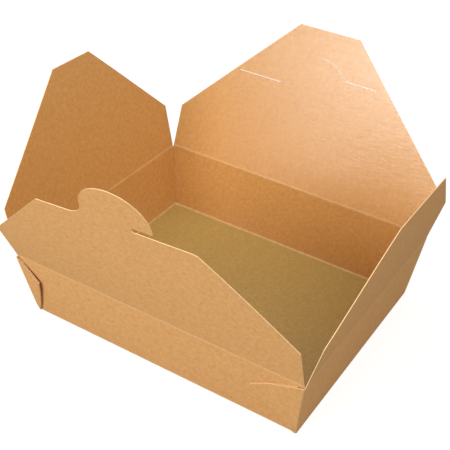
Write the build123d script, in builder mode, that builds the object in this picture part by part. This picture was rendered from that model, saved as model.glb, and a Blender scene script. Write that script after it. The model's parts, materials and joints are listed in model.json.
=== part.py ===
"""Folding takeaway box: a tapered paperboard tray with four hinged lid flaps.

The box is one die-cut sheet. Its base and four walls fold up into a tray, the web of board at
each corner folds double against the outside of a long wall, and the four flaps stay hinged on
the creases along the wall tops.

Frame: the origin is the centre of the underside of the base, +Z is up, the long side of the
box lies along X, and the wall whose flap carries the lock tab faces -Y. Units are millimetres.
"""
import os
from math import atan, cos, radians, sin

from build123d import *

# Board
board = 0.5
fold_radius = 0.9

# Tray: base to its outer faces, mouth from crease to crease
base_length = 197.0
base_width = 153.0
mouth_length = 210.0
mouth_width = 168.0
wall_height = 48.0

# Creases between walls and flaps
wall_top_gap = 0.4
flap_foot_gap = 0.25
end_crease_drop = 0.7
flap_side_clearance = 0.8

# Flaps: height from the crease, square side below each 45 degree cut, opening from shut flat
front_flap_height = 85.0
front_flap_side = 30.5
front_flap_opening = 109.0
back_flap_height = 112.5
back_flap_side = 30.5
back_flap_opening = 111.0
left_flap_height = 99.0
left_flap_side = 32.0
left_flap_opening = 101.0
right_flap_height = 85.5
right_flap_side = 32.0
right_flap_opening = 104.5

# Lock tab on the front flap: a round tab with a hook slot under its right side
tab_offset = 4.0
tab_radius = 21.8
tab_rise = 7.9
tab_shoulder_radius = 12.0
hook_slot_width = 3.6
hook_slot_start = 12.0
hook_slot_radius = 1.5
hook_tip_radius = 0.8
front_soft_corner_radius = 5.0

# Knife slits in the back flap that take the tab
slit_width = 0.5
left_slit_height = 70.0
left_slit_outer = 62.0
left_slit_inner = 28.0
right_slit_height = 83.0
right_slit_outer = 43.5
right_slit_inner = 18.5
slit_tail_rise = 11.0
slit_tail_reach = 20.0

# Corner webs, folded double against the long walls
web_gap = 0.3
web_foot = 1.2
web_top_gap = 0.6

half_mouth_length = mouth_length / 2
half_mouth_width = mouth_width / 2
front_taper = (mouth_width - base_width) / 2
end_taper = (mouth_length - base_length) / 2
end_crease_height = wall_height - end_crease_drop
tray_top = wall_height - wall_top_gap
end_wall_top = end_crease_height - wall_top_gap
wall_lean = atan(front_taper / wall_height)
end_lean = atan(end_taper / wall_height)
front_wall_inset = board / cos(wall_lean)
end_wall_inset = board / cos(end_lean)
web_stack = 2 * board + web_gap


class WebFold:
    """One corner web: the wall and corner it lies at, and where its fold ends."""

    def __init__(self, wall_side, end_side, reach, rise, lift):
        """Keep the corner's signs, the fold's end point on the wall, and its lift in degrees."""
        corner = Vector(end_side * base_length / 2, wall_side * base_width / 2, 0)
        self.outward = Vector(0, wall_side * cos(wall_lean), -sin(wall_lean))
        edge = Vector(end_side * end_taper, wall_side * front_taper, wall_height)
        self.edge_length = edge.length
        up_edge = edge.normalized()
        across = up_edge.cross(self.outward)
        if across.X * end_side > 0:
            across = across * -1
        along_base = Vector(-end_side, 0, 0)
        up_wall = Vector(0, wall_side * front_taper, wall_height).normalized()
        fold_end = along_base * reach + up_wall * rise
        self.fold_end = (fold_end.dot(across), fold_end.dot(up_edge))
        swung = across * cos(radians(lift)) + self.outward * sin(radians(lift))
        normal = swung.cross(up_edge)
        self.sign = 1 if normal.dot(self.outward) > 0 else -1
        self.plane = Plane(origin=corner, x_dir=swung, z_dir=normal)

    def layer_plane(self, height):
        """Return the plane of the web that lies this far outside the wall."""
        return self.plane.offset(self.sign * height)


# Reach from the corner along the base, rise up the wall, and lift off the wall in degrees
web_folds = [
    WebFold(-1, 1, 29.0, 30.5, 0.8),
    WebFold(-1, -1, 11.5, 33.5, 7.0),
    WebFold(1, 1, 20.5, 36.5, 0.8),
    WebFold(1, -1, 20.5, 36.5, 0.8),
]


def flap_plane(crease, along, inward, opening):
    """Return a flap's mid-plane: X along its crease, Y away from the crease."""
    angle = radians(opening)
    away = inward * cos(angle) + Vector(0, 0, 1) * sin(angle)
    return Plane(origin=crease, x_dir=along, z_dir=along.cross(away))


def flap_points(half_crease, height, side):
    """Return a flap's corners: square sides, then a 45 degree cut at each top corner."""
    half_foot = half_crease - flap_side_clearance
    half_top = half_crease - (height - side)
    return [
        (-half_foot, flap_foot_gap),
        (half_foot, flap_foot_gap),
        (half_foot, side),
        (half_top, height),
        (-half_top, height),
        (-half_foot, side),
    ]


os.makedirs("parts", exist_ok=True)

# The hollow of the tray, a board's thickness inside the outer faces all round
with BuildPart() as tray_hollow:
    with BuildSketch(Plane.XY.offset(board)):
        Rectangle(
            base_length + 2 * end_taper * board / wall_height - 2 * end_wall_inset,
            base_width + 2 * front_taper * board / wall_height - 2 * front_wall_inset,
        )
    with BuildSketch(Plane.XY.offset(wall_height)):
        Rectangle(mouth_length + board - 2 * end_wall_inset, mouth_width + board - 2 * front_wall_inset)
    loft(ruled=True)
    fillet(tray_hollow.edges().sort_by(Axis.Z)[:8], fold_radius - board)

# Tray: base and walls as one bent sheet
with BuildPart() as tray:
    with BuildSketch(Plane.XY):
        Rectangle(base_length, base_width)
    with BuildSketch(Plane.XY.offset(wall_height)):
        Rectangle(mouth_length + board, mouth_width + board)
    loft(ruled=True)
    fillet(tray.edges().sort_by(Axis.Z)[:8], fold_radius)
    add(tray_hollow.part, mode=Mode.SUBTRACT)

    # Wall tops stop under the creases, the end walls a little lower
    with BuildSketch(Plane.XY.offset(tray_top)):
        Rectangle(2 * mouth_length, 2 * mouth_width)
    extrude(amount=wall_height, mode=Mode.SUBTRACT)
    with BuildSketch(Plane.XY.offset(end_wall_top)):
        Rectangle(2 * mouth_length, mouth_width - 2 * board)
    extrude(amount=wall_height, mode=Mode.SUBTRACT)

    # Corner webs: two layers joined along the fold, with the pocket between them open at the top
    for web in web_folds:
        web_top = web.edge_length - web_top_gap
        with BuildSketch(web.layer_plane(web_gap)):
            with BuildLine():
                Polyline((0, web_foot), (0, web_top), web.fold_end, (board, web_foot), close=True)
            make_face()
        extrude(amount=web.sign * web_stack)
        with BuildSketch(web.layer_plane(web_gap + board)):
            with BuildLine():
                Polyline(
                    (board, web_foot + 3 * board),
                    (board, web_top + board),
                    (web.fold_end[0] - board, web.fold_end[1] + 2 * board),
                    (web.fold_end[0] - board, web.fold_end[1] - board),
                    close=True,
                )
            make_face()
        extrude(amount=web.sign * web_gap, mode=Mode.SUBTRACT)

        # The strip up the corner, where the outer layer runs into the end wall
        with BuildSketch(web.layer_plane(-board / 2)):
            with BuildLine():
                Polyline(
                    (-board / 2, web_foot),
                    (-board / 2, web_top),
                    (board, web_top),
                    (board, web_foot),
                    close=True,
                )
            make_face()
        extrude(amount=web.sign * (board / 2 + web_gap + web_stack))

tray.part.label = "tray"
export_step(tray.part, "parts/tray.step")

# Front flap with its lock tab
front_plane = flap_plane(
    Vector(0, -half_mouth_width, wall_height), Vector(1, 0, 0), Vector(0, 1, 0), front_flap_opening
)
tab_centre = (tab_offset, front_flap_height + tab_rise)
tab_half_foot = (tab_radius**2 - tab_rise**2) ** 0.5
hook_height = front_flap_height + hook_slot_width
hook_half_width = (tab_radius**2 - (tab_rise - hook_slot_width) ** 2) ** 0.5
front_half_top = half_mouth_length - (front_flap_height - front_flap_side)
with BuildPart() as front_flap:
    with BuildSketch(front_plane) as front_outline:
        with BuildLine():
            Polyline(*flap_points(half_mouth_length, front_flap_height, front_flap_side), close=True)
        make_face()
        with Locations(tab_centre):
            Circle(tab_radius)
        shoulder = (tab_offset - tab_half_foot, front_flap_height)
        fillet(front_outline.vertices().sort_by_distance(shoulder)[0], tab_shoulder_radius)
        with Locations((hook_slot_start, front_flap_height)):
            Rectangle(
                2 * tab_radius,
                hook_slot_width,
                align=(Align.MIN, Align.MIN),
                mode=Mode.SUBTRACT,
            )
        for slot_corner in ((hook_slot_start, front_flap_height), (hook_slot_start, hook_height)):
            fillet(front_outline.vertices().sort_by_distance(slot_corner)[0], hook_slot_radius)
        hook_tip = (tab_offset + hook_half_width, hook_height)
        fillet(front_outline.vertices().sort_by_distance(hook_tip)[0], hook_tip_radius)
        soft_corner = (front_half_top, front_flap_height)
        fillet(front_outline.vertices().sort_by_distance(soft_corner)[0], front_soft_corner_radius)
    extrude(amount=board / 2, both=True)
front_flap.part.label = "front_flap"
export_step(front_flap.part, "parts/front_flap.step")

# Back flap with the two knife slits; the right one ends in a curved tail
back_plane = flap_plane(
    Vector(0, half_mouth_width, wall_height), Vector(1, 0, 0), Vector(0, -1, 0), back_flap_opening
)
with BuildPart() as back_flap:
    with BuildSketch(back_plane):
        with BuildLine():
            Polyline(*flap_points(half_mouth_length, back_flap_height, back_flap_side), close=True)
        make_face()
        with BuildLine():
            Line((-left_slit_outer, left_slit_height), (-left_slit_inner, left_slit_height))
        trace(line_width=slit_width, mode=Mode.SUBTRACT)
        with BuildLine():
            Line((right_slit_outer, right_slit_height), (right_slit_inner, right_slit_height))
            ThreePointArc(
                (right_slit_inner, right_slit_height),
                (right_slit_inner - slit_tail_reach * 0.4, right_slit_height + slit_tail_rise * 0.7),
                (right_slit_inner - slit_tail_reach, right_slit_height + slit_tail_rise),
            )
        trace(line_width=slit_width, mode=Mode.SUBTRACT)
    extrude(amount=board / 2, both=True)
back_flap.part.label = "back_flap"
export_step(back_flap.part, "parts/back_flap.step")

# End flaps
left_plane = flap_plane(
    Vector(-half_mouth_length, 0, end_crease_height),
    Vector(0, 1, 0),
    Vector(1, 0, 0),
    left_flap_opening,
)
with BuildPart() as left_flap:
    with BuildSketch(left_plane):
        with BuildLine():
            Polyline(*flap_points(half_mouth_width, left_flap_height, left_flap_side), close=True)
        make_face()
    extrude(amount=board / 2, both=True)
left_flap.part.label = "left_flap"
export_step(left_flap.part, "parts/left_flap.step")

right_plane = flap_plane(
    Vector(half_mouth_length, 0, end_crease_height),
    Vector(0, 1, 0),
    Vector(-1, 0, 0),
    right_flap_opening,
)
with BuildPart() as right_flap:
    with BuildSketch(right_plane):
        with BuildLine():
            Polyline(*flap_points(half_mouth_width, right_flap_height, right_flap_side), close=True)
        make_face()
    extrude(amount=board / 2, both=True)
right_flap.part.label = "right_flap"
export_step(right_flap.part, "parts/right_flap.step")
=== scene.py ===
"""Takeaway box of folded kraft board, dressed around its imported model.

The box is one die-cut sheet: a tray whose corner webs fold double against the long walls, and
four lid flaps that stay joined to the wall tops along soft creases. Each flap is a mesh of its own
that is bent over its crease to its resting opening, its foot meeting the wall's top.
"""

import json
import logging
import math
from collections.abc import Callable, Sequence
from dataclasses import dataclass, field
from enum import Enum

import bpy
from mathutils import Matrix, Vector


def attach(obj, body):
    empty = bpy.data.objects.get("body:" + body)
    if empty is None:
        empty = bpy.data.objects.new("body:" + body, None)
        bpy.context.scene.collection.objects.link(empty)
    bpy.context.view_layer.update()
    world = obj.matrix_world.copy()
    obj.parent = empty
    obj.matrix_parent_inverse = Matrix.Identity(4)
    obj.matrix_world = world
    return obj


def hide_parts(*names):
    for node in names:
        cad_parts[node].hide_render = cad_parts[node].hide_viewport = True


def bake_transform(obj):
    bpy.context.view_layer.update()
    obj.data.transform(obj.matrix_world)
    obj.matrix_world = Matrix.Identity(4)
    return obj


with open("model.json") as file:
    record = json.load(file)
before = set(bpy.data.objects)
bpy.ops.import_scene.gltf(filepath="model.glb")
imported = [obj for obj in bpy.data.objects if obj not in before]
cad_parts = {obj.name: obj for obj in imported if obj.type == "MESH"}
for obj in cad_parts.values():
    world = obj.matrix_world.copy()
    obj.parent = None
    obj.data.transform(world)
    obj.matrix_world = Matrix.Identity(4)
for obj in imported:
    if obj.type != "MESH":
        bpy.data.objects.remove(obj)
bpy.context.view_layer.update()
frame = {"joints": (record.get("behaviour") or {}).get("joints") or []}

LOG = logging.getLogger("takeaway_box")

MM = 0.001
UP = Vector((0.0, 0.0, 1.0))

# The board: its thickness, and the outer radius of its base creases
BOARD = 0.5 * MM
CREASE_RADIUS = 0.9 * MM

# How far each side of a flap crease the board bends, and where the flap's mesh meets the wall's
BEND_REACH = 0.7 * MM
SEAM_DROP = 1.2 * MM

WEAR_ATTRIBUTE = "crease_wear"
WEAR_REACH = 1.3 * MM


class Side(Enum):
    """The four sides of the box, each by its outward direction."""

    FRONT = (0.0, -1.0)
    BACK = (0.0, 1.0)
    LEFT = (-1.0, 0.0)
    RIGHT = (1.0, 0.0)

    @property
    def outward(self) -> Vector:
        """Horizontal unit vector out of the box."""
        return Vector((*self.value, 0.0))

    @property
    def along(self) -> Vector:
        """Horizontal unit vector along the side, to the right as seen from outside."""
        return UP.cross(self.outward)

    @property
    def flap(self) -> str:
        """Name of the flap's node and body."""
        return f"{self.name.lower()}_flap"


class Face(Enum):
    """The board's kinds of surface, by their place in a mesh's material list."""

    OUTSIDE = 0
    INSIDE = 1
    CUT = 2
    FLOOR = 3


def linear(hex_colour: str) -> tuple[float, float, float, float]:
    """Turn an sRGB hex colour into linear RGBA.

    Args:
        hex_colour: six hex digits, with or without a leading hash.

    Returns:
        The linear red, green and blue, and an alpha of 1.
    """
    digits = hex_colour.lstrip("#")
    channels = [int(digits[i:i + 2], 16) / 255 for i in (0, 2, 4)]
    red, green, blue = (c / 12.92 if c <= 0.04045 else ((c + 0.055) / 1.055) ** 2.4 for c in channels)
    return red, green, blue, 1.0


def add_node(
    tree: bpy.types.NodeTree,
    kind: str,
    inputs: dict[str | int, object] | None = None,
    **settings: object,
) -> bpy.types.Node:
    """Add one shader node with its settings, its values and its incoming links.

    Args:
        tree: the node tree that takes the node.
        kind: the node's type name.
        inputs: values or output sockets by input name or number.
        **settings: the node's own properties.

    Returns:
        The new node.
    """
    node = tree.nodes.new(kind)
    for name, value in settings.items():
        setattr(node, name, value)
    for name, value in (inputs or {}).items():
        if isinstance(value, bpy.types.NodeSocket):
            tree.links.new(value, node.inputs[name])
        else:
            node.inputs[name].default_value = value
    return node


def smooth_step(share: float) -> float:
    """Ease from 0 to 1 as share goes from 0 to 1, and stay level outside that."""
    held = min(1.0, max(0.0, share))
    return held * held * (3.0 - 2.0 * held)


def mix(low: float, high: float, share: float) -> float:
    """Return the value that lies this share of the way from low to high."""
    return low + (high - low) * share


# ---------------------------------------------------------------------------------- finishes


@dataclass(frozen=True)
class KraftFinish:
    """Unbleached kraft board face, calendered on the paper machine.

    Long softwood fibres give it a fine mottle and a slight grain, and bark specks dot it.
    """

    name: str = "uncoated_kraft_board"
    pale: str = "E2AE72"
    deep: str = "CF9758"
    speck: str = "8A5A2C"
    worn: str = "F0C894"
    roughness: float = 0.78
    coat: float = 0.0
    coat_roughness: float = 0.3
    mottle_mm: float = 2.4
    fibre_mm: float = 0.55
    fibre_stretch: float = 4.5
    speck_mm: float = 5.5
    bump_mm: float = 0.05
    film_streak_mm: float = 0.0

    def build(self) -> bpy.types.Material:
        """Make the material.

        Returns:
            The finished node material.
        """
        material = bpy.data.materials.new(self.name)
        material.use_nodes = True
        tree = material.node_tree
        tree.nodes.clear()
        place = add_node(tree, "ShaderNodeTexCoord").outputs["Object"]

        # Cloudy mottle, a few millimetres across, where the pulp lay thicker or thinner
        mottle = add_node(
            tree, "ShaderNodeTexNoise",
            {"Vector": place, "Scale": 1 / (self.mottle_mm * MM), "Detail": 5.0, "Roughness": 0.62},
        ).outputs["Fac"]
        # Fibres: two sets of short streaks that cross, drawn about ten times as wide as real
        # ones so that they show
        streaks = []
        for turn in (0.5, -0.75):
            grain = add_node(
                tree, "ShaderNodeMapping",
                {"Vector": place, "Rotation": (0.6 * turn, turn, 0.4 + turn),
                 "Scale": (1 / self.fibre_stretch, 1.0, 1.0)},
            ).outputs["Vector"]
            streaks.append(add_node(
                tree, "ShaderNodeTexNoise",
                {"Vector": grain, "Scale": 1 / (self.fibre_mm * MM), "Detail": 2.0, "Roughness": 0.5},
            ).outputs["Fac"])
        fibres = add_node(
            tree, "ShaderNodeMath", {0: streaks[0], 1: streaks[1]}, operation="MAXIMUM"
        ).outputs["Value"]
        tone = add_node(
            tree, "ShaderNodeMath", {0: mottle, 1: 0.55, 2: 0.0}, operation="MULTIPLY_ADD"
        )
        tree.links.new(
            add_node(tree, "ShaderNodeMath", {0: fibres, 1: 0.45}, operation="MULTIPLY").outputs["Value"],
            tone.inputs[2],
        )
        base = add_node(
            tree, "ShaderNodeValToRGB", {"Fac": tone.outputs["Value"]}
        )
        base.color_ramp.elements[0].position = 0.38
        base.color_ramp.elements[0].color = linear(self.deep)
        base.color_ramp.elements[1].position = 0.66
        base.color_ramp.elements[1].color = linear(self.pale)

        # Sparse bark specks, each a fraction of its cell across
        cells = add_node(
            tree, "ShaderNodeTexVoronoi",
            {"Vector": place, "Scale": 1 / (self.speck_mm * MM), "Randomness": 1.0},
            feature="F1",
        )
        chosen = add_node(
            tree, "ShaderNodeSeparateColor", {"Color": cells.outputs["Color"]}
        ).outputs["Red"]
        size = add_node(
            tree, "ShaderNodeMapRange",
            {"Value": chosen, "From Min": 0.62, "From Max": 1.0, "To Min": 0.0, "To Max": 0.095},
        ).outputs["Result"]
        speck = add_node(
            tree, "ShaderNodeMath", {0: size, 1: cells.outputs["Distance"]}, operation="GREATER_THAN"
        ).outputs["Value"]
        speck_share = add_node(tree, "ShaderNodeMath", {0: speck, 1: 0.55}, operation="MULTIPLY")
        specked = add_node(
            tree, "ShaderNodeMix",
            {"Factor": speck_share.outputs["Value"], 6: base.outputs["Color"], 7: linear(self.speck)},
            data_type="RGBA",
        ).outputs[2]

        # Board that has been creased: the fibres part and show paler
        wear = add_node(tree, "ShaderNodeAttribute", attribute_name=WEAR_ATTRIBUTE).outputs["Fac"]
        broken = add_node(tree, "ShaderNodeMath", {0: wear, 1: mottle}, operation="MULTIPLY")
        colour = add_node(
            tree, "ShaderNodeMix",
            {"Factor": broken.outputs["Value"], 6: specked, 7: linear(self.worn)},
            data_type="RGBA",
        ).outputs[2]

        bump_height = add_node(
            tree, "ShaderNodeMath", {0: fibres, 1: 0.6, 2: mottle}, operation="MULTIPLY_ADD"
        ).outputs["Value"]
        bump = add_node(
            tree, "ShaderNodeBump",
            {"Height": bump_height, "Distance": self.bump_mm * MM, "Strength": 0.8},
        ).outputs["Normal"]
        shader = add_node(
            tree, "ShaderNodeBsdfPrincipled",
            {"Base Color": colour, "Roughness": self.roughness, "Normal": bump, "IOR": 1.5,
             "Specular IOR Level": 0.25},
        )
        if self.coat:
            self._film(tree, place, shader)
        add_node(tree, "ShaderNodeOutputMaterial", {"Surface": shader.outputs["BSDF"]})
        return material

    def _film(
        self, tree: bpy.types.NodeTree, place: bpy.types.NodeSocket, shader: bpy.types.Node
    ) -> None:
        """Lay the film on: a clear coat drawn thin over the fibres, so that its gloss is streaky.

        Args:
            tree: the material's node tree.
            place: the object coordinates.
            shader: the board's shader, which takes the coat.
        """
        lay = add_node(
            tree, "ShaderNodeMapping",
            {"Vector": place, "Rotation": (0.0, 0.85, 0.25), "Scale": (0.12, 1.0, 1.0)},
        ).outputs["Vector"]
        streak = add_node(
            tree, "ShaderNodeTexNoise",
            {"Vector": lay, "Scale": 1 / (self.film_streak_mm * MM), "Detail": 3.0, "Roughness": 0.6},
        ).outputs["Fac"]
        film_bump = add_node(
            tree, "ShaderNodeBump",
            {"Height": streak, "Distance": 0.16 * MM, "Strength": 0.9},
        ).outputs["Normal"]
        shader.inputs["Coat Weight"].default_value = self.coat
        shader.inputs["Coat Roughness"].default_value = self.coat_roughness
        shader.inputs["Coat IOR"].default_value = 1.6
        tree.links.new(film_bump, shader.inputs["Coat Normal"])


@dataclass(frozen=True)
class StageFinish:
    """Matt white paper sweep: it shows pale, and still takes the box's shadow."""

    name: str = "white_paper_sweep"
    colour: str = "A4A4A4"
    glow: float = 0.74

    def build(self) -> bpy.types.Material:
        """Make the material.

        Returns:
            A diffuse white that shines only for the eye and for mirrors.
        """
        material = bpy.data.materials.new(self.name)
        material.use_nodes = True
        tree = material.node_tree
        tree.nodes.clear()
        seen = add_node(tree, "ShaderNodeLightPath").outputs
        looked = add_node(
            tree, "ShaderNodeMath",
            {0: seen["Is Camera Ray"], 1: seen["Is Transmission Ray"]}, operation="MAXIMUM",
        ).outputs["Value"]
        strength = add_node(
            tree, "ShaderNodeMath", {0: looked, 1: self.glow}, operation="MULTIPLY"
        ).outputs["Value"]
        paper = add_node(tree, "ShaderNodeBsdfDiffuse", {"Color": linear(self.colour)})
        glow = add_node(tree, "ShaderNodeEmission", {"Color": (1, 1, 1, 1), "Strength": strength})
        both = add_node(
            tree, "ShaderNodeAddShader", {0: paper.outputs["BSDF"], 1: glow.outputs["Emission"]}
        )
        add_node(tree, "ShaderNodeOutputMaterial", {"Surface": both.outputs["Shader"]})
        return material


@dataclass
class BoardFinishes:
    """The board's surfaces, in the order that Face gives."""

    # Outside: bare brown kraft, dry and matt
    outside: KraftFinish = KraftFinish()
    # Inside: the same kraft under a clear food-safe film, deeper in colour and glossy
    inside: KraftFinish = KraftFinish(
        name="film_lined_kraft_board", pale="DDA560", deep="C98F49", speck="7E4F22", worn="EFCB98",
        roughness=0.6, coat=1.0, coat_roughness=0.24, film_streak_mm=0.8,
    )
    # Cut edge: the pale middle of the board, where the knife opened it
    cut: KraftFinish = KraftFinish(
        name="cut_kraft_edge", pale="F6D3A2", deep="EBC08A", speck="C08A55", worn="F6D3A2",
        roughness=0.9, mottle_mm=1.2,
    )
    # Inside of the base: film-lined kraft whose colour holds a painted reflection of the white room in the film,
    # which turns it olive
    floor: KraftFinish = KraftFinish(
        name="film_lined_kraft_base", pale="C2A35C", deep="AE8D47", speck="6E5426", worn="DDBE86",
        roughness=0.6, coat=0.9, coat_roughness=0.3, film_streak_mm=0.8,
    )
    materials: list[bpy.types.Material] = field(default_factory=list)

    def build(self) -> None:
        """Make the materials."""
        self.materials = [finish.build() for finish in (self.outside, self.inside, self.cut, self.floor)]

    def dress(self, piece: bpy.types.Object) -> None:
        """Give a piece the materials, in Face order."""
        piece.data.materials.clear()
        for material in self.materials:
            piece.data.materials.append(material)


# ------------------------------------------------------------------------------ shaping tools


def deselect_objects() -> None:
    """Leave edit mode and select nothing."""
    if bpy.context.object and bpy.context.object.mode == "EDIT":
        bpy.ops.object.mode_set(mode="OBJECT")
    bpy.ops.object.select_all(action="DESELECT")


def take(piece: bpy.types.Object) -> None:
    """Select one piece alone and make it active."""
    deselect_objects()
    piece.select_set(True)
    bpy.context.view_layer.objects.active = piece


def pick(piece: bpy.types.Object, kind: str, wanted: Callable[[Vector], bool]) -> int:
    """Select, in edit mode, the vertices, edges or faces whose middle is wanted.

    Args:
        piece: the active object, in edit mode.
        kind: VERT, EDGE or FACE.
        wanted: says of a middle point whether to select there.

    Returns:
        How many were selected.
    """
    bpy.ops.mesh.select_mode(type=kind)
    bpy.ops.mesh.select_all(action="DESELECT")
    bpy.ops.object.mode_set(mode="OBJECT")
    mesh = piece.data
    points = mesh.vertices
    if kind == "VERT":
        found = [v for v in points if wanted(v.co)]
    elif kind == "EDGE":
        found = [e for e in mesh.edges if wanted((points[e.vertices[0]].co + points[e.vertices[1]].co) / 2)]
    else:
        found = [f for f in mesh.polygons if wanted(f.center)]
    for item in found:
        item.select = True
    bpy.ops.object.mode_set(mode="EDIT")
    return len(found)


def apply_modifier(piece: bpy.types.Object, kind: str, **settings: object) -> None:
    """Add one modifier to the piece and apply it.

    Args:
        piece: the piece to change.
        kind: the modifier's type.
        **settings: the modifier's own properties.
    """
    take(piece)
    modifier = piece.modifiers.new(kind.title(), kind)
    for name, value in settings.items():
        setattr(modifier, name, value)
    bpy.ops.object.modifier_apply(modifier=modifier.name)


def thicken(piece: bpy.types.Object, offset: float) -> None:
    """Give a sheet the board's thickness, with its inside and cut edges marked by material.

    Args:
        piece: the sheet, its normals towards the outside of the box.
        offset: -1 puts all the thickness inwards, 0 half each way.
    """
    apply_modifier(
        piece, "SOLIDIFY", thickness=BOARD, offset=offset, use_even_offset=False, use_rim=True,
        material_offset=Face.INSIDE.value, material_offset_rim=Face.CUT.value,
    )


def cut_away(piece: bpy.types.Object, waste: bpy.types.Object) -> None:
    """Cut the waste out of the piece, and remove the waste."""
    apply_modifier(
        piece, "BOOLEAN", object=waste, operation="DIFFERENCE", solver="EXACT",
        material_mode="TRANSFER",
    )
    bpy.data.objects.remove(waste)


def block(name: str, low: Sequence[float], high: Sequence[float]) -> bpy.types.Object:
    """Add a box-shaped cutter between two corners.

    Args:
        name: the cutter's name.
        low: its lowest corner.
        high: its highest corner.

    Returns:
        The cutter, its place in its mesh.
    """
    deselect_objects()
    bpy.ops.mesh.primitive_cube_add(size=1.0)
    cutter = bpy.context.object
    cutter.name = name
    bpy.ops.object.mode_set(mode="EDIT")
    bpy.ops.mesh.select_all(action="SELECT")
    bpy.ops.transform.resize(value=[b - a for a, b in zip(low, high)])
    bpy.ops.transform.translate(value=[(a + b) / 2 for a, b in zip(low, high)])
    bpy.ops.object.mode_set(mode="OBJECT")
    return cutter


def disc(name: str, centre: Sequence[float], radius: float, depth: float, sides: int) -> bpy.types.Object:
    """Add a round cutter whose axis is Z.

    Args:
        name: the cutter's name.
        centre: its middle in X and Y.
        radius: its radius.
        depth: its height.
        sides: how many flats it has.

    Returns:
        The cutter, its place in its mesh.
    """
    deselect_objects()
    bpy.ops.mesh.primitive_cylinder_add(vertices=sides, radius=radius, depth=depth)
    cutter = bpy.context.object
    cutter.name = name
    bpy.ops.object.mode_set(mode="EDIT")
    bpy.ops.mesh.select_all(action="SELECT")
    bpy.ops.transform.translate(value=(centre[0], centre[1], 0.0))
    bpy.ops.object.mode_set(mode="OBJECT")
    return cutter


def folded_grid(
    name: str, columns: int, rows: int, place: Callable[[int, int], tuple[Vector, float]]
) -> bpy.types.Object:
    """Add a grid of the board and fold it: each crossing is put where the folds carry it.

    Args:
        name: the sheet's name.
        columns: how many faces it has across.
        rows: how many faces it has up.
        place: gives a crossing's point and its crease wear, from its column and row.

    Returns:
        The folded sheet, its place in its mesh.
    """
    deselect_objects()
    bpy.ops.mesh.primitive_grid_add(x_subdivisions=columns, y_subdivisions=rows, size=2.0)
    sheet = bpy.context.object
    sheet.name = name
    wear = sheet.data.attributes.new(WEAR_ATTRIBUTE, "FLOAT", "POINT")
    for vertex in sheet.data.vertices:
        column = round((vertex.co.x + 1.0) / 2.0 * columns)
        row = round((vertex.co.y + 1.0) / 2.0 * rows)
        vertex.co, wear.data[vertex.index].value = place(column, row)
    sheet.data.update()
    return sheet


# ------------------------------------------------------------------------------ crease and flap


@dataclass
class Crease:
    """The crease between one wall and its flap, as the frame's joint gives it."""

    side: Side
    pivot: Vector
    opening: float
    wall_angle: float

    def direction(self, angle: float) -> Vector:
        """Unit vector away from the crease, at this angle from shut flat."""
        return -self.side.outward * math.cos(angle) + UP * math.sin(angle)

    def normal(self, angle: float) -> Vector:
        """Unit vector out of the board's outside, at this angle from shut flat."""
        return self.side.outward * math.sin(angle) + UP * math.cos(angle)

    def place(self, across: float, away: float, proud: float, turn: float = 0.0) -> Vector:
        """Put a point of the flat sheet where the folded crease carries it.

        Args:
            across: distance along the crease from its middle.
            away: distance from the crease, below it when negative.
            proud: distance outwards from the middle of the board.
            turn: extra opening of the flap at this place, in radians.

        Returns:
            The point in the row frame.
        """
        share = smooth_step((away + BEND_REACH) / (2 * BEND_REACH))
        angle = mix(self.wall_angle, self.opening + turn, share)
        return (
            self.pivot + self.side.along * across + self.direction(angle) * away
            + self.normal(angle) * proud
        )


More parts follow.
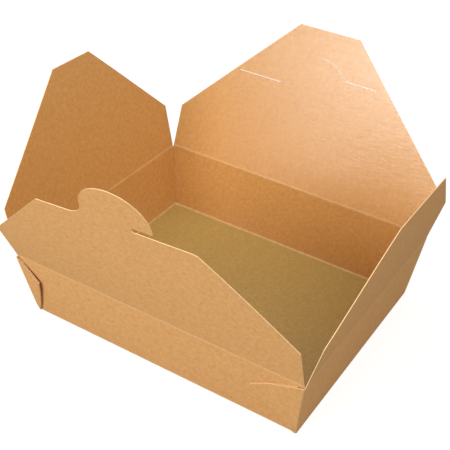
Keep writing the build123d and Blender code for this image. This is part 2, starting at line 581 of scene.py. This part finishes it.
@dataclass
class Flap:
    """One lid flap: a panel with square sides, a 45 degree cut at each top corner, and a crease.

    Heights are measured from the crease. The flap is cut flat, across along X and away from
    the crease along Y, and is then folded up on its crease.
    """

    crease: Crease
    height: float
    square_side: float
    half_crease: float
    side_clearance: float = 0.8 * MM
    twist_per_metre: float = 0.0
    bow: float = 0.35 * MM
    cell: float = 6.0 * MM
    foot_rows: int = 8

    @property
    def half_foot(self) -> float:
        """Half the panel's width, clear of the flaps beside it."""
        return self.half_crease - self.side_clearance

    @property
    def top(self) -> float:
        """Height of the sheet that the flap is cut from."""
        return self.height

    def build(self, finishes: BoardFinishes) -> bpy.types.Object:
        """Cut, fold and dress the flap.

        Args:
            finishes: the board's materials.

        Returns:
            The flap's finished mesh object.
        """
        panel = self._panel(finishes)
        self._cut_corners(panel)
        self._cut_details(panel)
        self._fold(panel)
        take(panel)
        bpy.ops.object.shade_smooth_by_angle(angle=math.radians(30))
        self._join_frame(panel)
        return panel

    def _panel(self, finishes: BoardFinishes) -> bpy.types.Object:
        """Make the flat panel: a subdivided plane, its foot extruded down in short rows."""
        deselect_objects()
        foot = WEAR_REACH
        bpy.ops.mesh.primitive_plane_add(size=1.0)
        panel = bpy.context.object
        panel.name = f"{self.crease.side.flap}_board"
        finishes.dress(panel)
        bpy.ops.object.mode_set(mode="EDIT")
        bpy.ops.mesh.select_all(action="SELECT")
        bpy.ops.transform.resize(value=(2 * self.half_foot, self.top - foot, 1.0))
        bpy.ops.transform.translate(value=(0.0, (self.top + foot) / 2, 0.0))
        bpy.ops.mesh.subdivide(number_cuts=round(self.top / self.cell))
        step = (foot + SEAM_DROP) / self.foot_rows
        for row in range(self.foot_rows):
            edge_at = foot - row * step
            pick(panel, "EDGE", lambda middle: abs(middle.y - edge_at) < step / 10)
            bpy.ops.mesh.extrude_region_move(TRANSFORM_OT_translate={"value": (0.0, -step, 0.0)})
        bpy.ops.object.mode_set(mode="OBJECT")
        thicken(panel, offset=0.0)
        return panel

    def _cut_corners(self, panel: bpy.types.Object) -> None:
        """Cut the 45 degree corners away with two bisections, and mark the new cut edges."""
        for sign in (-1.0, 1.0):
            bpy.ops.object.mode_set(mode="EDIT")
            bpy.ops.mesh.select_mode(type="FACE")
            bpy.ops.mesh.select_all(action="SELECT")
            bpy.ops.mesh.bisect(
                plane_co=(sign * self.half_crease, self.square_side, 0.0),
                plane_no=(sign, 1.0, 0.0), use_fill=True, clear_outer=True,
            )
            bpy.ops.object.mode_set(mode="OBJECT")
            slant = Vector((sign, 1.0, 0.0)).normalized()
            for face in panel.data.polygons:
                if face.normal.dot(slant) > 0.99:
                    face.material_index = Face.CUT.value

    def _cut_details(self, panel: bpy.types.Object) -> None:
        """Cut what this flap alone has; a plain flap has nothing."""

    def _unevenness(self, across: float, away: float) -> float:
        """How far the panel bows out of its plane at a place, nothing at the crease."""
        rise = smooth_step(away / self.height)
        wave = math.cos(across / (31 * MM) + self.height / MM) + math.cos(away / (23 * MM))
        return self.bow * rise * wave

    def _fold(self, panel: bpy.types.Object) -> None:
        """Fold the flat panel up on its crease, and mark the board's wear along it."""
        mesh = panel.data
        wear = mesh.attributes.new(WEAR_ATTRIBUTE, "FLOAT", "POINT")
        for vertex in mesh.vertices:
            across, away, proud = vertex.co
            wear.data[vertex.index].value = 1.0 - smooth_step(abs(away) / WEAR_REACH)
            vertex.co = self.crease.place(
                across, away, proud + self._unevenness(across, away), self.twist_per_metre * across
            )
        mesh.update()

    def _join_frame(self, panel: bpy.types.Object) -> None:
        """Bake the flap's placement into its mesh, and hide the flap's own node."""
        lean = self.crease.direction((self.crease.opening + self.crease.wall_angle) / 2)
        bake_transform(panel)
        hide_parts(self.crease.side.flap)


@dataclass
class LockFlap(Flap):
    """The front flap: a round lock tab, with a hook slot under its right side."""

    tab_offset: float = 4.0 * MM
    tab_radius: float = 21.8 * MM
    tab_rise: float = 7.9 * MM
    shoulder_radius: float = 12.0 * MM
    slot_width: float = 3.6 * MM
    slot_start: float = 12.0 * MM
    slot_round: float = 1.5 * MM
    tip_round: float = 0.8 * MM
    soft_corner: float = 5.0 * MM

    @property
    def top(self) -> float:
        """Height of the sheet, up to the tab's crown."""
        return self.height + self.tab_rise + self.tab_radius

    def _cut_details(self, panel: bpy.types.Object) -> None:
        """Cut the waste from round the tab, then soften the hook and the right corner."""
        deep = 4 * BOARD
        centre = (self.tab_offset, self.height + self.tab_rise)
        waste = block(
            "tab_waste", (-2 * self.half_crease, self.height, -deep), (2 * self.half_crease, 2 * self.top, deep)
        )
        waste.data.materials.append(panel.data.materials[Face.CUT.value])
        cut_away(waste, disc("tab", centre, self.tab_radius, 4 * deep, 128))

        # The board left in the hollow of the left shoulder, down to where its curve ends
        reach = self.tab_radius + self.shoulder_radius
        drop = self.shoulder_radius - self.tab_rise
        shoulder_x = centre[0] - math.sqrt(reach**2 - drop**2)
        shoulder_y = self.height + self.shoulder_radius
        meet = self.tab_radius / reach
        meet_x = mix(centre[0], shoulder_x, meet)
        meet_y = mix(centre[1], shoulder_y, meet)
        filler = block("shoulder", (shoulder_x, self.height - deep, -2 * deep), (meet_x + deep, meet_y, 2 * deep))
        cut_away(filler, disc("shoulder_curve", (shoulder_x, shoulder_y), self.shoulder_radius, 8 * deep, 128))
        cut_away(waste, filler)
        cut_away(panel, waste)

        slot = block(
            "hook_slot", (self.slot_start, self.height - BOARD / 50, -deep),
            (self.half_crease, self.height + self.slot_width, deep),
        )
        slot.data.materials.append(panel.data.materials[Face.CUT.value])
        bpy.ops.object.mode_set(mode="EDIT")
        pick(slot, "EDGE", lambda middle: abs(middle.x - self.slot_start) < BOARD / 10 and abs(middle.z) < BOARD)
        bpy.ops.mesh.bevel(offset=self.slot_round, segments=6)
        bpy.ops.object.mode_set(mode="OBJECT")
        cut_away(panel, slot)

        tip_y = self.height + self.slot_width
        tip_x = centre[0] + math.sqrt(self.tab_radius**2 - (tip_y - centre[1]) ** 2)
        corner_x = self.half_crease - (self.height - self.square_side)
        for x, y, radius in ((tip_x, tip_y, self.tip_round), (corner_x, self.height, self.soft_corner)):
            take(panel)
            bpy.ops.object.mode_set(mode="EDIT")
            found = pick(
                panel, "EDGE",
                lambda middle: math.hypot(middle.x - x, middle.y - y) < BOARD / 5 and abs(middle.z) < BOARD / 5,
            )
            LOG.info("softened %d edges of the front flap with radius %.1f mm", found, radius / MM)
            bpy.ops.mesh.bevel(offset=radius * 0.5, segments=6)
            bpy.ops.object.mode_set(mode="OBJECT")


@dataclass
class SlitFlap(Flap):
    """The back flap: two knife slits that take the lock tab, one of them with a curved tail."""

    slit_width: float = 0.45 * MM
    plain_height: float = 70.0 * MM
    plain_span: tuple[float, float] = (28.0 * MM, 62.0 * MM)
    tailed_height: float = 83.0 * MM
    tailed_span: tuple[float, float] = (-43.5 * MM, -18.5 * MM)
    tail_rise: float = 11.0 * MM
    tail_reach: float = 20.0 * MM

    def _cut_details(self, panel: bpy.types.Object) -> None:
        """Cut the two slits, and the tail as an arc that leaves the second slit's end."""
        half = self.slit_width / 2
        deep = 4 * BOARD
        for height, span in ((self.plain_height, self.plain_span), (self.tailed_height, self.tailed_span)):
            cutter = block("slit", (span[0], height - half, -deep), (span[1], height + half, deep))
            cutter.data.materials.append(panel.data.materials[Face.CUT.value])
            cut_away(panel, cutter)
        cut_away(panel, self._tail(panel, half, deep))

    def _tail(self, panel: bpy.types.Object, half: float, deep: float) -> bpy.types.Object:
        """Spin a small upright face round an arc to make the tail's cutter.

        Args:
            panel: the flap, whose cut edge material the cutter takes.
            half: half the slit's width.
            deep: half the cutter's depth.

        Returns:
            The curved cutter.
        """
        start = Vector((self.tailed_span[1] - self.slit_width, self.tailed_height, 0.0))
        end = Vector((self.tailed_span[1] + self.tail_reach, self.tailed_height + self.tail_rise, 0.0))
        bulge = Vector((self.tailed_span[1] + 0.4 * self.tail_reach, self.tailed_height + 0.7 * self.tail_rise, 0.0))
        centre = arc_centre(start, bulge, end)
        radius = (start - centre).length
        first = math.atan2(start.y - centre.y, start.x - centre.x)
        last = math.atan2(end.y - centre.y, end.x - centre.x)
        cutter = block(
            "slit_tail", (radius - half, -BOARD / 20, -deep), (radius + half, BOARD / 20, deep)
        )
        cutter.data.materials.append(panel.data.materials[Face.CUT.value])
        bpy.ops.object.mode_set(mode="EDIT")
        pick(cutter, "FACE", lambda middle: middle.y < -BOARD / 25)
        steps = 16
        for _ in range(steps):
            bpy.ops.mesh.extrude_region_move()
            turn = Matrix.Rotation((last - first) / steps, 4, "Z")
            bpy.ops.object.mode_set(mode="OBJECT")
            for vertex in cutter.data.vertices:
                if vertex.select:
                    vertex.co = turn @ vertex.co
            bpy.ops.object.mode_set(mode="EDIT")
        bpy.ops.object.mode_set(mode="OBJECT")
        cutter.data.transform(Matrix.Translation(centre) @ Matrix.Rotation(first, 4, "Z"))
        return cutter


def arc_centre(start: Vector, middle: Vector, end: Vector) -> Vector:
    """Centre of the circle through three points of the XY plane.

    Args:
        start: the first point.
        middle: a point between.
        end: the last point.

    Returns:
        The centre, with Z at 0.
    """
    a, b = middle - start, end - start
    double = 2 * (a.x * b.y - a.y * b.x)
    x = (b.y * a.length_squared - a.y * b.length_squared) / double
    y = (a.x * b.length_squared - b.x * a.length_squared) / double
    return start + Vector((x, y, 0.0))


# ------------------------------------------------------------------------------------- tray


@dataclass
class CornerWeb:
    """One corner's web of board, folded double against the outside of a long wall.

    Its outline is given on the wall, as reach from the base corner along the base and rise up
    the wall: the top edge runs from the corner crease to a kink and on to the fold's end.
    """

    kink: tuple[float, float]
    fold_end: tuple[float, float]
    lift: float
    belly: float = 0.8 * MM
    gap: float = 0.3 * MM

    @property
    def stack(self) -> float:
        """Height of the folded web's outer face above the wall."""
        return 2 * BOARD + self.gap


@dataclass
class Tray:
    """Base, four walls and four corner webs, all one sheet.

    Outer sizes at the base are given as numbers; those at the height of the long creases come from
    the frame's joints.
    """

    half_length: float
    half_width: float
    half_mouth_length: float
    half_mouth_width: float
    mouth_height: float
    long_seam: float
    end_seam: float
    webs: dict[tuple[Side, Side], CornerWeb]
    corner_round: float = 1.0 * MM
    round_rows: int = 6
    wall_rows: int = 10

    @property
    def wall_lean(self) -> float:
        """Angle of the long walls from upright."""
        return math.atan2(self.half_mouth_width - self.half_width, self.mouth_height)

    @property
    def end_lean(self) -> float:
        """Angle of the end walls from upright."""
        return math.atan2(self.half_mouth_length - self.half_length, self.mouth_height)

    def end_face(self, height: float) -> float:
        """Distance of the end wall's outer face from the middle, at a height."""
        return self.half_length + height * math.tan(self.end_lean)

    def wall_face(self, height: float) -> float:
        """Distance of the long wall's outer face from the middle, at a height."""
        return self.half_width + height * math.tan(self.wall_lean)

    def build(self, finishes: BoardFinishes) -> bpy.types.Object:
        """Fold the long sheet and the two end sheets, and join them as one piece.

        Args:
            finishes: the board's materials.

        Returns:
            The tray's finished mesh object.
        """
        sheets = [self._long_sheet(), self._end_sheet(Side.LEFT), self._end_sheet(Side.RIGHT)]
        for sheet in sheets:
            finishes.dress(sheet)
            thicken(sheet, offset=-1.0)
        take(sheets[0])
        for sheet in sheets[1:]:
            sheet.select_set(True)
        bpy.ops.object.join()
        tray = bpy.context.object
        tray.name = "tray_board"
        # The base's inside takes the finish whose olive colour is a painted reflection
        for face in tray.data.polygons:
            if face.material_index == Face.INSIDE.value and face.center.z < 1.1 * BOARD and face.normal.z > 0.99:
                face.material_index = Face.FLOOR.value
        bpy.ops.object.shade_smooth_by_angle(angle=math.radians(30))
        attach(tray, "tray")
        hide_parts("tray")
        return tray

    def _round(self, angle: float, face: float, lean: float) -> tuple[float, float]:
        """A point on a base crease's outer round.

        Args:
            angle: 0 where the round leaves the base, up to where it meets the wall.
            face: distance of the wall's foot from the middle, as if the crease were sharp.
            lean: the wall's angle from upright.

        Returns:
            Distance from the middle, and height.
        """
        turn = math.pi / 2 - lean
        start = face - CREASE_RADIUS * math.tan(turn / 2)
        return start + CREASE_RADIUS * math.sin(angle), CREASE_RADIUS * (1 - math.cos(angle))

    def _long_sheet(self) -> bpy.types.Object:
        """Fold the sheet of front wall, base and back wall."""
        turn = math.pi / 2 - self.wall_lean
        half_profile: list[tuple[float, float, float, float]] = []
        seam_height = self.long_seam
        _, round_top = self._round(turn, self.half_width, self.wall_lean)
        for row in range(self.wall_rows):
            height = mix(seam_height, round_top + WEAR_REACH, row / (self.wall_rows - 1))
            half_profile.append((self.wall_face(height), height, self.end_face(height) - 0.9 * BOARD, 0.0))
        for row in range(self.round_rows + 1):
            angle = turn * (1 - row / self.round_rows)
            out, height = self._round(angle, self.half_width, self.wall_lean)
            half_profile.append((out, height, self.end_face(height) - 0.9 * BOARD, 1.0))
        foot, _ = self._round(0.0, self.half_width, self.wall_lean)
        seam_x = self._base_seam()
        half_profile.append((foot - 0.02 * MM, 0.0, seam_x, 1.0))
        half_profile.append((foot - WEAR_REACH, 0.0, seam_x, 0.0))
        half_profile += [(foot * share, 0.0, seam_x, 0.0) for share in (0.85, 0.7, 0.5, 0.25)]
        profile = (
            [(-out, *rest) for out, *rest in half_profile]
            + [(0.0, 0.0, seam_x, 0.0)]
            + half_profile[::-1]
        )
        columns = 34

        def place(column: int, row: int) -> tuple[Vector, float]:
            """Point and wear at a crossing, from the right to the left along the box."""
            out, height, half, wear = profile[row]
            return Vector((mix(half, -half, column / columns), out, height)), wear

        return folded_grid("long_sheet", columns, len(profile) - 1, place)

    def _base_seam(self) -> float:
        """Where the long sheet's base meets the end sheets, just inside their creases."""
        start, _ = self._round(0.0, self.half_length, self.end_lean)
        return start - WEAR_REACH

    def _end_sheet(self, end: Side) -> bpy.types.Object:
        """Fold one end wall's sheet, with the webs at both its corners.

        Args:
            end: which end of the box.

        Returns:
            The folded sheet.
        """
        before, after = (Side.FRONT, Side.BACK) if end is Side.RIGHT else (Side.BACK, Side.FRONT)
        half = self._half_stations()
        stations = [(-1.0, *s) for s in half[::-1]] + [(1.0, *s) for s in half[1:]]
        webs = {-1.0: self.webs[(before, end)], 1.0: self.webs[(after, end)]}
        rows = self.round_rows + 2 + self.wall_rows

        def place(column: int, row: int) -> tuple[Vector, float]:
            """Point and wear at a crossing, right along the end as seen from outside."""
            sign, kind, share = stations[column]
            out, across, height, wear = self._end_point(webs[sign], kind, share, row)
            return end.outward * out + end.along * (across * sign) + UP * height, wear

        return folded_grid(f"{end.name.lower()}_end_sheet", len(stations) - 1, rows, place)

    @staticmethod
    def _half_stations() -> list[tuple[str, float]]:
        """Columns of half an end sheet, from its middle out and round to the web's inner layer."""
        wall = [("wall", k / 12) for k in range(12)] + [("wall", 0.98), ("wall", 1.0)]
        corner = [("corner", k / 6) for k in range(1, 7)]
        outer = [("outer", k / 8) for k in range(1, 9)]
        fold = [("fold", k / 8) for k in range(1, 9)]
        inner = [("inner", k / 3) for k in range(1, 4)]
        return wall + corner + outer + fold + inner

    def _end_point(self, web: CornerWeb, kind: str, share: float, row: int) -> tuple[float, float, float, float]:
        """Where one crossing of an end sheet lies.

        Args:
            web: the web at this corner.
            kind: the stretch of board: wall, corner, outer, fold or inner.
            share: how far along that stretch.
            row: the row, from the base seam up.

        Returns:
            Distance out along the end's direction, distance across, height, and wear.
        """
        turn = math.pi / 2 - self.end_lean
        first_wall_row = self.round_rows + 2
        base_start, _ = self._round(0.0, self.half_length, self.end_lean)
        long_start, _ = self._round(0.0, self.half_width, self.wall_lean)
        if row >= first_wall_row:
            up = mix(0.035, 1.0, (row - first_wall_row) / self.wall_rows)
            return self._upright_point(web, kind, share, up)
        out, across, height, _ = self._upright_point(web, kind, share, 0.035)
        angle = max(0.0, turn * (row - 1) / self.round_rows)
        bend = math.sin(angle) / math.sin(turn)
        if kind == "wall":
            round_out, round_height = self._round(angle, self.half_length, self.end_lean)
            if row == 0:
                round_out = self._base_seam()
            limit = mix(long_start, across / max(share, 1e-6) if share else 0.0, bend) if share else 0.0
            if row <= self.round_rows:
                return round_out, share * limit, round_height, float(row > 0)
            return self.end_face(round_height), across, round_height, 0.5
        tuck = 0.25 + 0.75 * bend
        squeezed = height * (1 - math.cos(angle)) / (1 - math.cos(turn))
        return mix(base_start, out, tuck), mix(long_start, across, tuck), squeezed, 0.0

    def _upright_point(
        self, web: CornerWeb, kind: str, share: float, up: float
    ) -> tuple[float, float, float, float]:
        """Where a crossing lies above the base crease.

        Args:
            web: the web at this corner.
            kind: the stretch of board.
            share: how far along that stretch.
            up: share of the way from the base corner to the stretch's top edge.

        Returns:
            Distance out, distance across, height, and wear.
        """
        stack = web.stack * smooth_step(0.35 + up * 4)
        radius = self.corner_round * smooth_step(0.5 + up * 4)
        if kind in ("wall", "corner"):
            turn = share * math.pi / 2 if kind == "corner" else 0.0
            top = mix(self.end_seam, self.end_seam + 0.45 * MM, turn / (math.pi / 2))
            height = up * top
            edge = self.wall_face(height) + stack / math.cos(self.wall_lean) - radius
            if kind == "wall":
                return self.end_face(height), share * edge, height, 0.0
            out = self.end_face(height) - radius * (1 - math.cos(turn))
            return out, edge + radius * math.sin(turn), height, 0.6 * math.sin(2 * turn)
        return self._web_point(web, kind, share, up, stack, radius)

    def _web_point(
        self, web: CornerWeb, kind: str, share: float, up: float, stack: float, radius: float
    ) -> tuple[float, float, float, float]:
        """Where a crossing of the web lies: its rows fan out from the base corner.

        Args:
            web: the web.
            kind: outer, fold or inner.
            share: how far along that stretch.
            up: share of the way from the base corner to the web's top edge.
            stack: height of the outer face above the wall here.
            radius: the corner's round here.

        Returns:
            Distance out, distance across, height, and wear.
        """
        cos_lean, sin_lean = math.cos(self.wall_lean), math.sin(self.wall_lean)
        top_rise = (self.end_seam + 0.45 * MM + web.stack * sin_lean) / cos_lean
        corner_top = Vector((self.half_length - self.end_face(self.end_seam) + self.corner_round, top_rise))
        kink, fold_end = Vector(web.kink), Vector(web.fold_end)
        along = {"outer": share, "fold": 1.0, "inner": 1.0 - 0.9 * share}[kind]
        kink_at = 0.62
        if along < kink_at:
            top = corner_top.lerp(kink, along / kink_at)
        else:
            top = kink.lerp(fold_end, (along - kink_at) / (1 - kink_at))
        foot = Vector((self.corner_round, 0.0))
        point = foot + (top - foot) * up
        fold_line = (fold_end - foot).normalized()
        away = Vector((fold_line.y, -fold_line.x))
        point += away * web.belly * 4 * up * (1 - up) * along**2
        corner_line = (corner_top - foot).normalized()
        from_corner = abs((point - foot).x * corner_line.y - (point - foot).y * corner_line.x)
        proud = stack
        wear = 0.0
        if kind == "fold":
            turn = share * math.pi
            point += away * (stack / 2) * math.sin(turn)
            proud = stack / 2 * (1 + math.cos(turn)) + 0.03 * MM
            wear = 0.8 * math.sin(turn)
        elif kind == "inner":
            proud = 0.03 * MM
        proud += from_corner * math.tan(web.lift)
        out = self.half_length - point.x + (self.corner_round - radius)
        across = self.half_width + point.y * sin_lean + proud * cos_lean
        return out, across, point.y * cos_lean - proud * sin_lean, wear


# ------------------------------------------------------------------------------------- box


@dataclass
class TakeawayBox:
    """The whole box: it reads its creases from the frame and builds the tray and the flaps."""

    finishes: BoardFinishes = field(default_factory=BoardFinishes)
    crease_inset: float = BOARD / 5

    def _pivot(self, side: Side) -> Vector:
        """The point of a side's joint."""
        joint = next(j for j in frame["joints"] if j["child"] == side.flap)
        return Vector(joint["pos_m"])

    def _opening(self, side: Side) -> float:
        """How far a side's flap is open at rest, from shut flat, in radians."""
        joint = next(j for j in frame["joints"] if j["child"] == side.flap)
        return math.radians(180.0 - joint["range_deg"][1])

    def _crease(self, side: Side, face: float, lean: float) -> Crease:
        """Lay a crease at its joint's height, in the middle of the wall's board.

        Args:
            side: the crease's side.
            face: distance of the wall's outer face from the middle at the crease.
            lean: the wall's angle from upright.

        Returns:
            The crease.
        """
        pivot = self._pivot(side)
        middle = side.outward * (face - BOARD / 2 / math.cos(lean)) + UP * pivot.z
        return Crease(side, middle, self._opening(side), math.pi / 2 + lean)

    def build(self) -> list[bpy.types.Object]:
        """Build every piece.

        Returns:
            The finished pieces.
        """
        self.finishes.build()
        front, right = self._pivot(Side.FRONT), self._pivot(Side.RIGHT)
        half_mouth_length, half_mouth_width = abs(right.x), abs(front.y)
        tray = Tray(
            half_length=98.5 * MM,
            half_width=76.5 * MM,
            half_mouth_length=half_mouth_length + BOARD / 2,
            half_mouth_width=half_mouth_width + BOARD / 2,
            mouth_height=front.z,
            long_seam=0.0,
            end_seam=0.0,
            webs=self._webs(),
        )
        tray.long_seam = front.z - SEAM_DROP * math.cos(tray.wall_lean)
        tray.end_seam = right.z - SEAM_DROP * math.cos(tray.end_lean)
        creases = {
            side: self._crease(side, face(self._pivot(side).z), lean)
            for side, face, lean in (
                (Side.FRONT, tray.wall_face, tray.wall_lean),
                (Side.BACK, tray.wall_face, tray.wall_lean),
                (Side.LEFT, tray.end_face, tray.end_lean),
                (Side.RIGHT, tray.end_face, tray.end_lean),
            )
        }
        pieces = [tray.build(self.finishes)]
        flaps = [
            LockFlap(
                creases[Side.FRONT], 85.0 * MM, 30.5 * MM, half_mouth_length,
                twist_per_metre=math.radians(-39.3),
            ),
            SlitFlap(creases[Side.BACK], 112.5 * MM, 30.5 * MM, half_mouth_length),
            Flap(creases[Side.LEFT], 99.0 * MM, 32.0 * MM, half_mouth_width),
            Flap(creases[Side.RIGHT], 85.5 * MM, 32.0 * MM, half_mouth_width),
        ]
        pieces += [flap.build(self.finishes) for flap in flaps]
        for piece in pieces:
            LOG.info("%s: %d faces", piece.name, len(piece.data.polygons))
        return pieces

    @staticmethod
    def _webs() -> dict[tuple[Side, Side], CornerWeb]:
        """The four corner webs; the two at the front were folded unevenly."""
        plain = CornerWeb(kink=(12.0 * MM, 42.0 * MM), fold_end=(20.5 * MM, 36.5 * MM), lift=math.radians(0.8))
        return {
            (Side.FRONT, Side.RIGHT): CornerWeb(
                kink=(16.8 * MM, 38.3 * MM), fold_end=(29.0 * MM, 30.3 * MM), lift=math.radians(0.8)
            ),
            (Side.FRONT, Side.LEFT): CornerWeb(
                kink=(2.0 * MM, 40.5 * MM), fold_end=(9.4 * MM, 32.4 * MM), lift=math.radians(7.0)
            ),
            (Side.BACK, Side.RIGHT): plain,
            (Side.BACK, Side.LEFT): plain,
        }


# ----------------------------------------------------------------------------------- studio


@dataclass
class Studio:
    """White sweep, soft lamps and the camera."""

    floor_size: float = 6.0
    camera_place: tuple[float, float, float] = (0.25322, -0.40035, 0.40117)
    camera_forward: tuple[float, float, float] = (-0.40169, 0.71212, -0.57578)
    camera_up: tuple[float, float, float] = (-0.32895, 0.47458, 0.81644)
    focal_ratio: float = 2.00729
    shift: tuple[float, float] = (-0.0906, -0.0076)

    def build(self) -> None:
        """Set the stage, the lamps, the camera and the view."""
        self._floor()
        self._world()
        self._lamp("key_softbox", azimuth=-16, elevation=27, distance=0.95, size=0.36, watts=5.2)
        self._lamp("top_softbox", azimuth=75, elevation=58, distance=1.3, size=0.9, watts=7.0)
        self._camera()
        bpy.context.scene.view_settings.view_transform = "Standard"

    def _floor(self) -> None:
        """Lay the white sweep that the box stands on."""
        deselect_objects()
        bpy.ops.mesh.primitive_plane_add(size=self.floor_size)
        floor = bpy.context.object
        floor.name = "paper_sweep"
        floor.data.materials.append(StageFinish().build())

    def _world(self) -> None:
        """Fill the room with even light that shows white to the camera."""
        world = bpy.data.worlds.new("white_room")
        bpy.context.scene.world = world
        world.use_nodes = True
        tree = world.node_tree
        tree.nodes.clear()
        seen = add_node(tree, "ShaderNodeLightPath").outputs["Is Camera Ray"]
        strength = add_node(
            tree, "ShaderNodeMapRange", {"Value": seen, "To Min": 0.55, "To Max": 1.0}
        ).outputs["Result"]
        light = add_node(tree, "ShaderNodeBackground", {"Color": (1, 1, 1, 1), "Strength": strength})
        add_node(tree, "ShaderNodeOutputWorld", {"Surface": light.outputs["Background"]})

    def _lamp(
        self, name: str, azimuth: float, elevation: float, distance: float, size: float, watts: float
    ) -> None:
        """Hang one square softbox that faces the box.

        Args:
            name: the lamp's name.
            azimuth: degrees round from the front, to the right when positive.
            elevation: degrees above the floor.
            distance: metres from the box.
            size: side of the softbox, in metres.
            watts: its power.
        """
        around, above = math.radians(azimuth), math.radians(elevation)
        back = Vector(
            (math.sin(around) * math.cos(above), -math.cos(around) * math.cos(above), math.sin(above))
        )
        light = bpy.data.lights.new(name, "AREA")
        light.shape = "SQUARE"
        light.size = size
        light.energy = watts
        lamp = bpy.data.objects.new(name, light)
        lamp.location = back * distance + UP * 0.06
        lamp.rotation_euler = (-back).to_track_quat("-Z", "Y").to_euler()
        bpy.context.scene.collection.objects.link(lamp)

    def _camera(self) -> None:
        """Set up the camera, a little above the front right corner."""
        data = bpy.data.cameras.new("camera")
        data.sensor_width = 36.0
        data.lens = self.focal_ratio * data.sensor_width
        data.shift_x, data.shift_y = self.shift
        data.clip_start = 0.01
        camera = bpy.data.objects.new("camera", data)
        forward, up = Vector(self.camera_forward).normalized(), Vector(self.camera_up).normalized()
        right = forward.cross(up).normalized()
        turn = Matrix((right, right.cross(forward), -forward)).transposed()
        camera.matrix_world = Matrix.Translation(self.camera_place) @ turn.to_4x4()
        bpy.context.scene.collection.objects.link(camera)
        bpy.context.scene.camera = camera


def main() -> None:
    """Build the box and the studio, and report each piece."""
    logging.basicConfig(level=logging.INFO, format="%(name)s: %(message)s")
    TakeawayBox().build()
    Studio().build()


if __name__ == "__main__":
    main()
